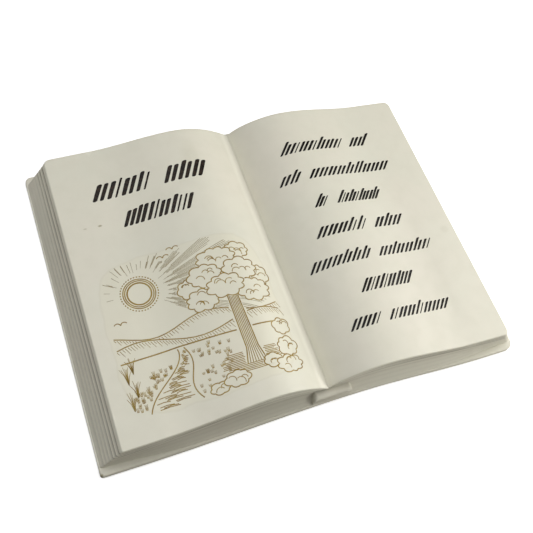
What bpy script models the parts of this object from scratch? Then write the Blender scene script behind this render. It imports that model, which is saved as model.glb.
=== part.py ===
"""Open book headstone: a small memorial in the form of an open book, cast in one piece.

Units are metres and +Z is up. The origin is on the ground under the middle of the book.
+X runs across both pages, and +Y runs from the foot of the pages to their head.
The casting is one solid: a flat cover board, a block of leaves with an open page on each
side of the gutter, the two ends of the spine, and rows of shallow strokes in the pages.
"""
from collections import namedtuple
from math import atan, cos, pi, sin

import bmesh
import bpy
from mathutils import Matrix, Vector

# Cover board, a flat plate with worn corners
COVER_WIDTH = 0.180
COVER_DEPTH = 0.1318
COVER_THICKNESS = 0.0027
COVER_EDGE_ROUND = 0.0005
COVER_EDGE_STEPS = 2
FRONT_LEFT_RADIUS = 0.0012
FRONT_RIGHT_RADIUS = 0.0036
BACK_RIGHT_RADIUS = 0.0030
BACK_LEFT_RADIUS = 0.0026
CORNER_STEPS = 5

# The front of the casting is drawn in between the corners, on the cover and on the pages
COVER_BOW = 0.0019
COVER_BOW_CENTRE = 0.014
PAGE_BOW = 0.0016
PAGE_BOW_CENTRE = 0.0
BOW_END = 0.012
BOW_STEPS = 14

# Block of leaves: how much of the cover shows round its foot, and how its sides are shaped
FORE_EDGE_MARGIN = 0.0005
FRONT_MARGIN = 0.0008
BACK_MARGIN = 0.0006
FORE_EDGE_LEAN = 0.0078
END_SWEEP = 0.0023
SWEEP_START = 0.45
SWEEP_POWER = 1.6
SWEEP_GROWTH = 0.035
PAGE_FRONT_LEFT_RADIUS = 0.0007
PAGE_FRONT_RIGHT_RADIUS = 0.0022
PAGE_BACK_RADIUS = 0.0026
PAGE_EDGE_ROUND = 0.0005
LEAF_BUNDLES = 7
LEAF_GAP_SHARE = 0.34
FORE_EDGE_GROOVE = 0.0006
END_GROOVE = 0.0004
SINK = 0.0012

# Open pages: heights above the ground, and where they change as shares of a page's width
GUTTER_HEIGHT = 0.0121
LEFT_CREST_HEIGHT = 0.0223
LEFT_EDGE_HEIGHT = 0.0175
LEFT_FULLNESS = 0.87
RIGHT_CREST_HEIGHT = 0.0219
RIGHT_EDGE_HEIGHT = 0.0171
RIGHT_FULLNESS = 0.62
CREST_SHARE = 0.30
FLAT_SHARE = 0.80
EDGE_DROOP = 0.0008
FRONT_SWELL = 0.18
GUTTER_COLUMNS = 7
GUTTER_CROWDING = 1.5
SWELL_COLUMNS = 6
FLAT_COLUMNS = 2
CORNER_COLUMNS = 3
PAGE_ROWS = 6

# Ends of the spine, which show under the gutter at the front and the back
SPINE_WIDTH = 0.0165
SPINE_CENTRE = 0.0022
SPINE_BELOW_PAGES = 0.0024
SPINE_SETBACK = 0.0001
SPINE_FOOT = 0.0006
SPINE_CORNER = 0.0014
SPINE_SHOULDER = 0.0014
SPINE_STEPS = 4

# Rows of strokes that stand for the inscription. A row is given as shares of a page's
# width and of half its depth: where it starts and ends, the line that it stands on, how
# tall its strokes are, and how many strokes each of its groups has.
Row = namedtuple("Row", "start end line height groups")
LEFT_ROWS = [
    Row(-0.80, -0.22, 0.573, 0.136, (4, 3)),
    Row(-0.69, -0.34, 0.354, 0.124, (3,)),
]
RIGHT_ROWS = [
    Row(0.22, 0.75, 0.610, 0.104, (7, 2)),
    Row(0.15, 0.81, 0.390, 0.095, (2, 9)),
    Row(0.28, 0.67, 0.172, 0.096, (1, 4)),
    Row(0.22, 0.73, -0.044, 0.100, (5, 3)),
    Row(0.12, 0.83, -0.254, 0.092, (6, 6)),
    Row(0.32, 0.62, -0.470, 0.097, (3,)),
    Row(0.19, 0.76, -0.684, 0.092, (3, 7)),
]
LEFT_SLANT = 0.52
RIGHT_SLANT = 0.85
STROKE_WIDTH_SHARE = 0.34
STROKE_DEPTH = 0.0004
STROKE_CLEAR = 0.0012

# Vertices closer than this are one, and an edge between faces flatter than this is left out
MERGE_DISTANCE = 0.00001
FLAT_ANGLE = 0.001

RESIN_COLOR = (0.72, 0.68, 0.55, 1.0)
RESIN_ROUGHNESS = 0.5


def clear_scene():
    for old in list(bpy.data.objects):
        bpy.data.objects.remove(old, do_unlink=True)


def make_collection(name):
    collection = bpy.data.collections.new(name)
    bpy.context.scene.collection.children.link(collection)
    return collection


def resin_material():
    material = bpy.data.materials.new("cream_resin")
    material.use_nodes = True
    shader = material.node_tree.nodes["Principled BSDF"]
    shader.inputs["Base Color"].default_value = RESIN_COLOR
    shader.inputs["Roughness"].default_value = RESIN_ROUGHNESS
    shader.inputs["Metallic"].default_value = 0.0
    return material


def object_from(shape, name, collection):
    """Turns a bmesh into an object's mesh and frees it."""
    mesh = bpy.data.meshes.new(name)
    shape.to_mesh(mesh)
    shape.free()
    made = bpy.data.objects.new(name, mesh)
    collection.objects.link(made)
    return made


def extruded_outline(points, thickness):
    """A flat outline as a filled 2D curve, made a closed bmesh of that thickness about z = 0."""
    curve = bpy.data.curves.new("outline", "CURVE")
    curve.dimensions = "2D"
    curve.fill_mode = "BOTH"
    curve.extrude = thickness / 2
    spline = curve.splines.new("POLY")
    spline.points.add(len(points) - 1)
    for point, (x, y) in zip(spline.points, points):
        point.co = (x, y, 0.0, 1.0)
    spline.use_cyclic_u = True
    guide = bpy.data.objects.new("outline", curve)
    bpy.context.scene.collection.objects.link(guide)
    bpy.context.view_layer.update()
    evaluated = guide.evaluated_get(bpy.context.evaluated_depsgraph_get())
    mesh = bpy.data.meshes.new_from_object(evaluated)
    bpy.data.objects.remove(guide, do_unlink=True)
    shape = bmesh.new()
    shape.from_mesh(mesh)
    bpy.data.meshes.remove(mesh)
    bmesh.ops.remove_doubles(shape, verts=shape.verts, dist=MERGE_DISTANCE)
    bmesh.ops.dissolve_limit(
        shape, angle_limit=FLAT_ANGLE, verts=shape.verts, edges=shape.edges)
    bmesh.ops.recalc_face_normals(shape, faces=shape.faces)
    return shape


def bow(x, depth, centre):
    """How far the front edge is drawn in at x; nothing from BOW_END before the corners on."""
    reach = COVER_WIDTH / 2 - BOW_END
    if abs(x) >= reach:
        return 0.0
    span = reach - centre if x > centre else reach + centre
    return depth * cos(pi / 2 * (x - centre) / span) ** 2


def cover_outline():
    """Plan of the cover board, counter-clockwise from its front left corner."""
    half_width, half_depth = COVER_WIDTH / 2, COVER_DEPTH / 2
    corners = [
        (-1, -1, FRONT_LEFT_RADIUS, pi),
        (1, -1, FRONT_RIGHT_RADIUS, 1.5 * pi),
        (1, 1, BACK_RIGHT_RADIUS, 0.0),
        (-1, 1, BACK_LEFT_RADIUS, 0.5 * pi),
    ]
    points = []
    for side_x, side_y, radius, start in corners:
        centre_x = side_x * (half_width - radius)
        centre_y = side_y * (half_depth - radius)
        for step in range(CORNER_STEPS + 1):
            angle = start + step * pi / 2 / CORNER_STEPS
            points.append((centre_x + radius * cos(angle), centre_y + radius * sin(angle)))
        if side_x < 0 and side_y < 0:
            for step in range(BOW_STEPS + 1):
                x = (half_width - BOW_END) * (2 * step / BOW_STEPS - 1)
                points.append((x, bow(x, COVER_BOW, COVER_BOW_CENTRE) - half_depth))
    return points


def cover_board(collection):
    """The flat board that the leaves stand on, with its upper edge rounded."""
    shape = extruded_outline(cover_outline(), COVER_THICKNESS)
    upper = [
        edge for edge in shape.edges
        if all(vert.co.z > 0 for vert in edge.verts)
    ]
    bmesh.ops.bevel(
        shape, geom=upper, offset=COVER_EDGE_ROUND, segments=COVER_EDGE_STEPS, profile=0.5,
        affect="EDGES")
    bmesh.ops.translate(shape, verts=shape.verts, vec=(0, 0, COVER_THICKNESS / 2))
    return object_from(shape, "open_book", collection)


def page_half_width():
    """Half the width of the block at the level of the open pages."""
    return COVER_WIDTH / 2 - FORE_EDGE_MARGIN - FORE_EDGE_LEAN


def page_profile(x):
    """Height of the open pages across the book, as it is at the back."""
    share = abs(x) / page_half_width()
    if x < 0:
        crest, edge, fullness = LEFT_CREST_HEIGHT, LEFT_EDGE_HEIGHT, LEFT_FULLNESS
    else:
        crest, edge, fullness = RIGHT_CREST_HEIGHT, RIGHT_EDGE_HEIGHT, RIGHT_FULLNESS
    if share < CREST_SHARE:
        rise = sin(pi / 2 * share / CREST_SHARE) ** fullness
        return GUTTER_HEIGHT + (crest - GUTTER_HEIGHT) * rise
    fall = min((share - CREST_SHARE) / (FLAT_SHARE - CREST_SHARE), 1.0)
    ease = 0.5 + 0.5 * cos(pi * fall)
    droop = EDGE_DROOP * max(0.0, (share - FLAT_SHARE) / (1 - FLAT_SHARE))
    return edge + (crest - edge) * ease - droop


def page_height(x, y):
    """Height of the open pages: the swell and the gutter are stronger towards the front."""
    level = (LEFT_EDGE_HEIGHT + RIGHT_EDGE_HEIGHT) / 2
    towards_front = 0.5 - y / COVER_DEPTH
    return level + (page_profile(x) - level) * (1 + FRONT_SWELL * towards_front)


def page_columns():
    """Columns of the page grid from left to right, each as a share of the straight part of
    the page's edge and an angle round its corner."""
    crest, flat = CREST_SHARE, FLAT_SHARE
    right = [
        crest * (step / GUTTER_COLUMNS) ** GUTTER_CROWDING for step in range(1, GUTTER_COLUMNS)]
    right += [crest + (flat - crest) * step / SWELL_COLUMNS for step in range(SWELL_COLUMNS)]
    right += [flat + (1 - flat) * step / FLAT_COLUMNS for step in range(FLAT_COLUMNS + 1)]
    columns = [(share, 0.0) for share in right]
    columns += [(1.0, pi / 2 * step / CORNER_COLUMNS) for step in range(1, CORNER_COLUMNS + 1)]
    left = [(-share, angle) for share, angle in reversed(columns)]
    return left + [(0.0, 0.0)] + columns


def block_plan(place, wider, deeper):
    """Plan position of a place on the block, whose sides stand out by the given sizes.

    A place is a column's share and angle, and a share of the way from the front to the back.
    """
    share, angle, along = place
    half_width = page_half_width() + wider
    front = FRONT_MARGIN + END_SWEEP - COVER_DEPTH / 2 - deeper
    back = COVER_DEPTH / 2 - BACK_MARGIN - END_SWEEP + deeper
    side = -1 if share < 0 else 1
    front_radius = PAGE_FRONT_LEFT_RADIUS if side < 0 else PAGE_FRONT_RIGHT_RADIUS
    radius = front_radius + (PAGE_BACK_RADIUS - front_radius) * along
    x = share * (half_width - radius) + side * radius * sin(angle)
    cut = radius * (1 - cos(angle))
    front += cut + bow(x, PAGE_BOW, PAGE_BOW_CENTRE)
    back -= cut
    return x, front + (back - front) * along


def open_page(place):
    """A place on the open pages, inside their rounded edge."""
    x, y = block_plan(place, -PAGE_EDGE_ROUND, -PAGE_EDGE_ROUND)
    return Vector((x, y, page_height(x, y)))


def page_edge(place):
    """A place on the outer edge of the topmost leaf."""
    x, y = block_plan(place, 0.0, 0.0)
    return Vector((x, y, open_page(place).z - PAGE_EDGE_ROUND))


def end_sweep(place, down):
    """How far the ends run out over the cover, from halfway down and away from the corners."""
    from_corner = (1 - abs(place[0])) * page_half_width()
    grown = sin(pi / 2 * min(from_corner / SWEEP_GROWTH, 1.0)) ** 2
    spread = max(0.0, (down - SWEEP_START) / (1 - SWEEP_START)) ** SWEEP_POWER
    return END_SWEEP * grown * spread


def leaf_edge(place, down, fore_edge_groove, end_groove):
    """A place on the sides of the block, at a share of the way down to the cover."""
    x, y = block_plan(
        place, FORE_EDGE_LEAN * down - fore_edge_groove, end_sweep(place, down) - end_groove)
    height = page_edge(place).z - COVER_THICKNESS
    return Vector((x, y, COVER_THICKNESS + height * (1 - down)))


def sunk_foot(place):
    """A place on the block's foot, inside the cover board."""
    x, y = block_plan(place, FORE_EDGE_LEAN, end_sweep(place, 1.0))
    return Vector((x, y, COVER_THICKNESS - SINK))


def leaf_levels():
    """The rings down the leaves: the share of the way down and the depth of each groove.

    The grooves of the ends are shallower the lower they are.
    """
    gap = LEAF_GAP_SHARE / LEAF_BUNDLES
    levels = []
    for bundle in range(1, LEAF_BUNDLES):
        down = bundle / LEAF_BUNDLES
        levels.append((down - gap / 2, 0.0, 0.0))
        levels.append((down, FORE_EDGE_GROOVE, END_GROOVE * (1 - down)))
        levels.append((down + gap / 2, 0.0, 0.0))
    return levels


def extrude_rim(shape, rim, position, *values):
    """Extrudes the block's open edge one ring down. The rim gives each vertex its place."""
    open_edges = [edge for edge in shape.edges if edge.is_boundary]
    made = bmesh.ops.extrude_edge_only(shape, edges=open_edges)["geom"]
    lower = {}
    for vert in made:
        if isinstance(vert, bmesh.types.BMVert):
            above = next(
                edge.other_vert(vert) for edge in vert.link_edges if edge.other_vert(vert) in rim)
            lower[vert] = rim[above]
    for vert, place in lower.items():
        vert.co = position(place, *values)
    return lower


def page_block(collection):
    """The leaves: a grid shaped as the open pages, whose rim is extruded down to the cover."""
    columns = page_columns()
    last = len(columns) - 1
    shape = bmesh.new()
    bmesh.ops.create_grid(shape, x_segments=last, y_segments=PAGE_ROWS, size=1.0)
    rim = {}
    for vert in shape.verts:
        column = columns[round((vert.co.x + 1) / 2 * last)]
        place = (*column, (vert.co.y + 1) / 2)
        vert.co = open_page(place)
        if vert.is_boundary:
            rim[vert] = place
    rim = extrude_rim(shape, rim, page_edge)
    for level in leaf_levels():
        rim = extrude_rim(shape, rim, leaf_edge, *level)
    extrude_rim(shape, rim, sunk_foot)
    bmesh.ops.holes_fill(shape, edges=[edge for edge in shape.edges if edge.is_boundary])
    bmesh.ops.recalc_face_normals(shape, faces=shape.faces)
    return object_from(shape, "page_block", collection)


def spine_outline(height):
    """The end of the spine seen from the front: a short post with rounded upper corners."""
    straight = SPINE_WIDTH / 2 - SPINE_CORNER
    right = [(SPINE_WIDTH / 2, SPINE_FOOT)]
    for step in range(SPINE_STEPS + 1):
        angle = pi / 2 * step / SPINE_STEPS
        right.append((
            straight + SPINE_CORNER * cos(angle), height - SPINE_CORNER * (1 - sin(angle))))
    left = [(-x, z) for x, z in reversed(right)]
    return right + left


def spine_end(name, side, collection):
    """One end of the spine, from inside the block of leaves to the cover's edge.

    It is the same outline repeated outwards, lower and lower over its rounded shoulder.
    """
    margin, drawn_in = (FRONT_MARGIN, COVER_BOW) if side < 0 else (BACK_MARGIN, 0.0)
    inner = COVER_DEPTH / 2 - margin - END_SWEEP - PAGE_BOW - SINK
    outer = COVER_DEPTH / 2 - drawn_in - SPINE_SETBACK
    height = page_height(0.0, side * outer) - SPINE_BELOW_PAGES
    levels = [(inner, height)]
    for step in range(SPINE_STEPS + 1):
        angle = pi / 2 * step / SPINE_STEPS
        levels.append((
            outer - SPINE_SHOULDER * (1 - sin(angle)), height - SPINE_SHOULDER * (1 - cos(angle))))
    shape = bmesh.new()
    rings = [
        [shape.verts.new((SPINE_CENTRE + x, side * y, z)) for x, z in spine_outline(top)]
        for y, top in levels
    ]
    for near, far in zip(rings, rings[1:]):
        for i in range(len(near)):
            j = (i + 1) % len(near)
            shape.faces.new((near[i], near[j], far[j], far[i]))
    shape.faces.new(rings[0])
    shape.faces.new(rings[-1])
    bmesh.ops.recalc_face_normals(shape, faces=shape.faces)
    bmesh.ops.triangulate(shape, faces=shape.faces)
    return object_from(shape, name, collection)


def stroke_places(row):
    """Where a row's strokes are: evenly spaced, with one place left empty between groups."""
    slots = sum(row.groups) + len(row.groups) - 1
    pitch = (row.end - row.start) * page_half_width() / slots
    places = []
    slot = 0
    for group in row.groups:
        for _ in range(group):
            places.append(row.start * page_half_width() + (slot + 0.5) * pitch)
            slot += 1
        slot += 1
    return places, pitch


def inscription(collection):
    """One cutter with every stroke: slanted bars that follow the slope of the page."""
    slanted = Matrix.Identity(4)
    raised = Matrix.Translation((0, 0, (STROKE_CLEAR - STROKE_DEPTH) / 2))
    shape = bmesh.new()
    for row in LEFT_ROWS + RIGHT_ROWS:
        slanted[0][1] = LEFT_SLANT if row.start < 0 else RIGHT_SLANT
        height = row.height * COVER_DEPTH / 2
        y = row.line * COVER_DEPTH / 2 + height / 2
        places, pitch = stroke_places(row)
        width = pitch * STROKE_WIDTH_SHARE
        size = Matrix.Diagonal((width, height, STROKE_DEPTH + STROKE_CLEAR, 1.0))
        for x in places:
            rise = page_height(x + width, y) - page_height(x - width, y)
            tilted = Matrix.Rotation(-atan(rise / (2 * width)), 4, "Y")
            on_page = Matrix.Translation((x, y, page_height(x, y)))
            bmesh.ops.create_cube(
                shape, size=1.0, matrix=on_page @ tilted @ slanted @ raised @ size)
    return object_from(shape, "inscription_strokes", collection)


def add_boolean(target, tool, operation):
    tool.hide_render = True
    tool.display_type = "WIRE"
    modifier = target.modifiers.new(tool.name, "BOOLEAN")
    modifier.operation = operation
    modifier.solver = "EXACT"
    modifier.object = tool


def build():
    clear_scene()
    parts = make_collection("open_book_headstone")
    cutters = make_collection("cutters")
    book = cover_board(parts)
    add_boolean(book, page_block(cutters), "UNION")
    add_boolean(book, spine_end("spine_front_end", -1, cutters), "UNION")
    add_boolean(book, spine_end("spine_back_end", 1, cutters), "UNION")
    add_boolean(book, inscription(cutters), "DIFFERENCE")
    book.data.materials.append(resin_material())


build()
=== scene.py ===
# %% [markdown]
# # An open book cast in resin
#
# The real object is a small grave ornament: a book that lies open on its back, cast in one
# piece from stone-filled resin. A mould maker would carve one model of it, with page edges
# as grooves, and pour every copy in a rubber mould. The lettering is cut a little into the
# pages and filled with black paint, and a thin gold line picture is printed on the left one.
#
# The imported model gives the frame: its size, its place and its main form. This script builds
# the finer surface around it, in the same places, and then the paint, the print and the light.

# %% The frame
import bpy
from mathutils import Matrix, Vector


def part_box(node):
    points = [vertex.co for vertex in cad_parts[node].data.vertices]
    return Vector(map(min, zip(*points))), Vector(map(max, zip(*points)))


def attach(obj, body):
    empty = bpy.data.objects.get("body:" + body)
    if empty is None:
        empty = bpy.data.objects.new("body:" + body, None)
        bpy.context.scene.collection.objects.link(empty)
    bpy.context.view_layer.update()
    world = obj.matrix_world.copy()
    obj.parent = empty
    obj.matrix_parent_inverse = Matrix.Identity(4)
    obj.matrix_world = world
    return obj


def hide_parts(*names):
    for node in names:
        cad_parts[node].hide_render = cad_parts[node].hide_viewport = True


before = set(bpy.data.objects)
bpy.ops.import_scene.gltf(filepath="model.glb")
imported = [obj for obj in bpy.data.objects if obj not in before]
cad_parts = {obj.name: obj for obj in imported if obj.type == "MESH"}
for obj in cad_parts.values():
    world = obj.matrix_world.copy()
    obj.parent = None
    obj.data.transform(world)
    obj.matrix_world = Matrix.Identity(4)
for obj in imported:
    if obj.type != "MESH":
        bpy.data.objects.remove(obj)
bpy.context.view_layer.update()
book_low, book_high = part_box("open_book")
print("book from", list(book_low), "to", list(book_high))

# %% [markdown]
# ## The camera
#
# The photograph looks down on the book from its front left corner, and the camera is turned
# a little about its own line of sight. A place, a point to look at and a roll say all of
# that, and `to_track_quat` turns the first two into a rotation. The imports for the whole
# lesson come first.

# %% The camera
from collections import namedtuple
from math import atan, cos, hypot, pi, radians, sin
from random import Random

import bmesh
import bpy
from mathutils import Matrix, Quaternion, Vector, noise

CAMERA_PLACE = Vector((-0.0985, -0.1215, 0.2682))
CAMERA_TARGET = Vector((-0.0058, -0.0053, 0.0120))
CAMERA_ROLL = radians(21.06)
CAMERA_LENS = 48.38
CAMERA_SENSOR = 36.0

scene = bpy.context.scene
camera = bpy.data.objects.new("camera", bpy.data.cameras.new("camera"))
scene.collection.objects.link(camera)
camera.data.lens = CAMERA_LENS
camera.data.sensor_width = CAMERA_SENSOR
camera.data.clip_start = 0.01
camera.data.clip_end = 10.0
camera.location = CAMERA_PLACE
line_of_sight = CAMERA_TARGET - CAMERA_PLACE
camera.rotation_mode = "QUATERNION"
camera.rotation_quaternion = (
    line_of_sight.to_track_quat("-Z", "Y") @ Quaternion((0, 0, 1), CAMERA_ROLL))
scene.camera = camera
print("camera distance", round(line_of_sight.length, 4))

# %% [markdown]
# ## The sizes of the book
#
# The finer surface has to lie where the frame's solid lies, so it starts from the same
# sizes. The overall width and depth come from the frame; the rest are the book's own.

# %% The sizes of the book
COVER_WIDTH = book_high.x - book_low.x
COVER_DEPTH = book_high.y - book_low.y
COVER_THICKNESS = 0.0027
CORNER_RADII = {(-1, -1): 0.0012, (1, -1): 0.0036, (1, 1): 0.0030, (-1, 1): 0.0026}
COVER_BOW = 0.0019
COVER_BOW_CENTRE = 0.014
PAGE_BOW = 0.0016
PAGE_BOW_CENTRE = 0.0
BOW_END = 0.012
FORE_EDGE_MARGIN = 0.0005
FRONT_MARGIN = 0.0008
BACK_MARGIN = 0.0006
FORE_EDGE_LEAN = 0.0078
END_SWEEP = 0.0023
SWEEP_START = 0.45
SWEEP_POWER = 1.6
SWEEP_GROWTH = 0.035
PAGE_FRONT_RADII = {-1: 0.0007, 1: 0.0022}
PAGE_BACK_RADIUS = 0.0026
PAGE_EDGE_ROUND = 0.0005
LEAF_BUNDLES = 7
SINK = 0.0012
PAGE_HALF_WIDTH = COVER_WIDTH / 2 - FORE_EDGE_MARGIN - FORE_EDGE_LEAN

GUTTER_HEIGHT = 0.0121
Page = namedtuple("Page", "crest edge fullness")
LEFT_PAGE = Page(0.0223, 0.0175, 0.87)
RIGHT_PAGE = Page(0.0219, 0.0171, 0.62)
CREST_SHARE = 0.30
FLAT_SHARE = 0.80
EDGE_DROOP = 0.0008
FRONT_SWELL = 0.18
print("page half width", round(PAGE_HALF_WIDTH, 4))

# %% [markdown]
# ## The form of the open pages
#
# Paper that is bound in the middle rises steeply out of the gutter, rolls over a crest and
# runs out nearly flat. Three short formulas draw that section: a power of a sine up to the
# crest, half a cosine wave down from it, and a slight droop at the edge. Resin can't hold a
# knife-sharp valley, so the gutter's bottom is rounded off. The casting isn't perfectly even,
# so a slow noise takes up to a tenth of a millimetre off it here and there.

# %% The form of the open pages
GUTTER_ROUND = 0.0008
UNDULATION = 0.00014
UNDULATION_SCALE = 45.0


def page_profile(x):
    """Height of the open pages across the book, as it is at the back."""
    page = LEFT_PAGE if x < 0 else RIGHT_PAGE
    share = (hypot(x, GUTTER_ROUND) - GUTTER_ROUND) / (PAGE_HALF_WIDTH - GUTTER_ROUND)
    if share < CREST_SHARE:
        rise = sin(pi / 2 * share / CREST_SHARE) ** page.fullness
        return GUTTER_HEIGHT + (page.crest - GUTTER_HEIGHT) * rise
    fall = min((share - CREST_SHARE) / (FLAT_SHARE - CREST_SHARE), 1.0)
    ease = 0.5 + 0.5 * cos(pi * fall)
    droop = EDGE_DROOP * max(0.0, (share - FLAT_SHARE) / (1 - FLAT_SHARE))
    return page.edge + (page.crest - page.edge) * ease - droop


def unevenness(x, y, z, scale):
    """Smooth noise from 0 to 1 at a point of the casting."""
    return 0.5 + 0.5 * noise.noise(Vector((x, y, z)) * scale)


def page_height(x, y):
    """Height of the open pages, whose swell and gutter are stronger towards the front."""
    level = (LEFT_PAGE.edge + RIGHT_PAGE.edge) / 2
    towards_front = 0.5 - y / COVER_DEPTH
    height = level + (page_profile(x) - level) * (1 + FRONT_SWELL * towards_front)
    return height - UNDULATION * unevenness(x, y, 0.0, UNDULATION_SCALE)


for x in (-0.0245, 0.0, 0.0245):
    print("page height at", x, "is", round(page_height(x, 0.0), 5))


# %% [markdown]
# ## Plan of the block of leaves
#
# Every point on the block has a place: a column across the book, given by a share of the
# straight edge and an angle round the corner, and a share of the way from front to back.
# The same function then puts that place on the top page or on any ring further down, wider
# or narrower, which keeps the rings in step.

# %% Plan of the block of leaves
GUTTER_COLUMNS = 26
SWELL_COLUMNS = 34
FLAT_COLUMNS = 12
CORNER_COLUMNS = 6
PAGE_ROWS = 84
GUTTER_CROWDING = 1.5


def bow(x, depth, centre):
    """How far the front edge is drawn in at x; nothing from BOW_END before the corners on."""
    reach = COVER_WIDTH / 2 - BOW_END
    if abs(x) >= reach:
        return 0.0
    span = reach - centre if x > centre else reach + centre
    return depth * cos(pi / 2 * (x - centre) / span) ** 2


def page_columns():
    """Columns of the page grid from left to right, closest together beside the gutter."""
    crest, flat = CREST_SHARE, FLAT_SHARE
    right = [
        crest * (step / GUTTER_COLUMNS) ** GUTTER_CROWDING for step in range(1, GUTTER_COLUMNS)]
    right += [crest + (flat - crest) * step / SWELL_COLUMNS for step in range(SWELL_COLUMNS)]
    right += [flat + (1 - flat) * step / FLAT_COLUMNS for step in range(FLAT_COLUMNS + 1)]
    columns = [(share, 0.0) for share in right]
    columns += [(1.0, pi / 2 * step / CORNER_COLUMNS) for step in range(1, CORNER_COLUMNS + 1)]
    left = [(-share, angle) for share, angle in reversed(columns)]
    return left + [(0.0, 0.0)] + columns


def block_plan(place, wider, deeper):
    """Plan position of a place on the block, whose sides stand out by the given sizes."""
    share, angle, along = place
    half_width = PAGE_HALF_WIDTH + wider
    front = FRONT_MARGIN + END_SWEEP - COVER_DEPTH / 2 - deeper
    back = COVER_DEPTH / 2 - BACK_MARGIN - END_SWEEP + deeper
    side = -1 if share < 0 else 1
    radius = PAGE_FRONT_RADII[side] + (PAGE_BACK_RADIUS - PAGE_FRONT_RADII[side]) * along
    x = share * (half_width - radius) + side * radius * sin(angle)
    cut = radius * (1 - cos(angle))
    front += cut + bow(x, PAGE_BOW, PAGE_BOW_CENTRE)
    back -= cut
    return x, front + (back - front) * along


print("columns", len(page_columns()), "rows", PAGE_ROWS)

# %% [markdown]
# ## The leaves seen from the side
#
# A carver doesn't cut every sheet of paper. Seven bundles with a groove between each two
# read as a thick book, and shallow lines on each bundle read as single sheets. Each bundle
# swells like a pillow between two narrow valleys, and a slow noise makes the valleys patchy.
# The mould lost the lower grooves: on the fore-edges they fade towards the back. On both ends
# the leaves stop halfway down, over a hollow that sweeps out to the cover's edge.

# %% The leaves seen from the side
FORE_EDGE_GROOVE = 0.0008
END_GROOVE = 0.0006
PILLOW = 0.85
SHEETS_IN_BUNDLE = 3
SHEET_LINE = 0.00012
RINGS_IN_BUNDLE = 13
END_HOLLOW = 0.0008
LOST = 0.05
LOST_DOWN = (0.30, 0.62)
LOST_ALONG = (0.25, 0.85)
PATCH_LEAST = 0.65
PATCH_RANGE = 0.6
PATCH_SCALE = 60.0
PATCH_STEP = 0.02


def smooth_step(value, low, high):
    """A share from 0 to 1 that eases in at the low value and out at the high one."""
    share = min(max((value - low) / (high - low), 0.0), 1.0)
    return share * share * (3 - 2 * share)


def groove_share(down, along, x, y):
    """How deep the grooves are at a share of the way down the leaves, on both kinds of side."""
    bundles = down * LEAF_BUNDLES
    inner = 0 < round(bundles) < LEAF_BUNDLES
    valley = 1 - abs(sin(pi * bundles)) ** PILLOW if inner else 0.0
    sheets = 1 - abs(sin(pi * bundles * SHEETS_IN_BUNDLE)) ** PILLOW
    patch = unevenness(x, y, round(bundles) * PATCH_STEP, PATCH_SCALE)
    patchy = PATCH_LEAST + PATCH_RANGE * patch
    low = smooth_step(down, *LOST_DOWN)
    fore_edge = 1 - (1 - LOST) * low * smooth_step(along, *LOST_ALONG)
    end = 1 - (1 - LOST) * low
    return valley * patchy * fore_edge, valley * patchy * end, sheets * patchy * end


def side_shape(down, place):
    """How far the fore-edges and the ends stand out from the page's edge, in metres."""
    x, y = block_plan(place, 0.0, 0.0)
    fore_edge, end, sheets = groove_share(down, place[2], x, y)
    lines = SHEET_LINE * sheets
    from_corner = (1 - abs(place[0])) * PAGE_HALF_WIDTH
    grown = sin(pi / 2 * min(from_corner / SWEEP_GROWTH, 1.0)) ** 2
    spread = max(0.0, (down - SWEEP_START) / (1 - SWEEP_START)) ** SWEEP_POWER
    hollow = END_HOLLOW * sin(pi * down) ** 2 * grown
    return (
        FORE_EDGE_LEAN * down - FORE_EDGE_GROOVE * fore_edge - lines,
        END_SWEEP * grown * spread - END_GROOVE * end - lines - hollow)


print("bundles", LEAF_BUNDLES, "rings", LEAF_BUNDLES * RINGS_IN_BUNDLE)

# %% [markdown]
# ## The block of leaves
#
# The open pages start as a flat grid. Its vertices are lifted to the page form, and then the
# grid's rim is extruded down, ring after ring: round the page edge, down the grooved leaves,
# and a little into the cover, which hides the last ring. Extruding an open edge keeps every
# ring joined to the one above, so the block is one clean skin when its foot is filled.

# %% The block of leaves
EDGE_STEPS = 4


def open_page(place):
    """A place on the open pages, inside their rounded edge."""
    x, y = block_plan(place, -PAGE_EDGE_ROUND, -PAGE_EDGE_ROUND)
    return Vector((x, y, page_height(x, y)))


def page_edge(place, angle):
    """A place on the rounded edge of the topmost leaf, from flat to upright."""
    inset = PAGE_EDGE_ROUND * (1 - sin(angle))
    x, y = block_plan(place, -inset, -inset)
    return Vector((x, y, open_page(place).z - PAGE_EDGE_ROUND * (1 - cos(angle))))


def leaf_edge(place, down):
    """A place on the sides of the block, at a share of the way down to the cover."""
    x, y = block_plan(place, *side_shape(down, place))
    height = page_edge(place, pi / 2).z - COVER_THICKNESS
    return Vector((x, y, COVER_THICKNESS + height * (1 - down)))


def sunk_foot(place):
    """A place on the block's foot, inside the cover board."""
    x, y = block_plan(place, *side_shape(1.0, place))
    return Vector((x, y, COVER_THICKNESS - SINK))


def extrude_rim(shape, rim, position, *values):
    """Extrudes the open edge one ring further. The rim gives each vertex its place."""
    open_edges = [edge for edge in shape.edges if edge.is_boundary]
    made = bmesh.ops.extrude_edge_only(shape, edges=open_edges)["geom"]
    further = {}
    for vert in made:
        if isinstance(vert, bmesh.types.BMVert):
            before = next(
                edge.other_vert(vert) for edge in vert.link_edges if edge.other_vert(vert) in rim)
            further[vert] = rim[before]
    for vert, place in further.items():
        vert.co = position(place, *values)
    return further


def close_foot(shape):
    """Fills the last open ring and turns every face outwards."""
    bmesh.ops.holes_fill(shape, edges=[edge for edge in shape.edges if edge.is_boundary])
    bmesh.ops.recalc_face_normals(shape, faces=shape.faces)


def object_from(shape, name):
    """Turns a bmesh into an object in the scene and frees it."""
    mesh = bpy.data.meshes.new(name)
    shape.to_mesh(mesh)
    shape.free()
    made = bpy.data.objects.new(name, mesh)
    scene.collection.objects.link(made)
    return made


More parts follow.
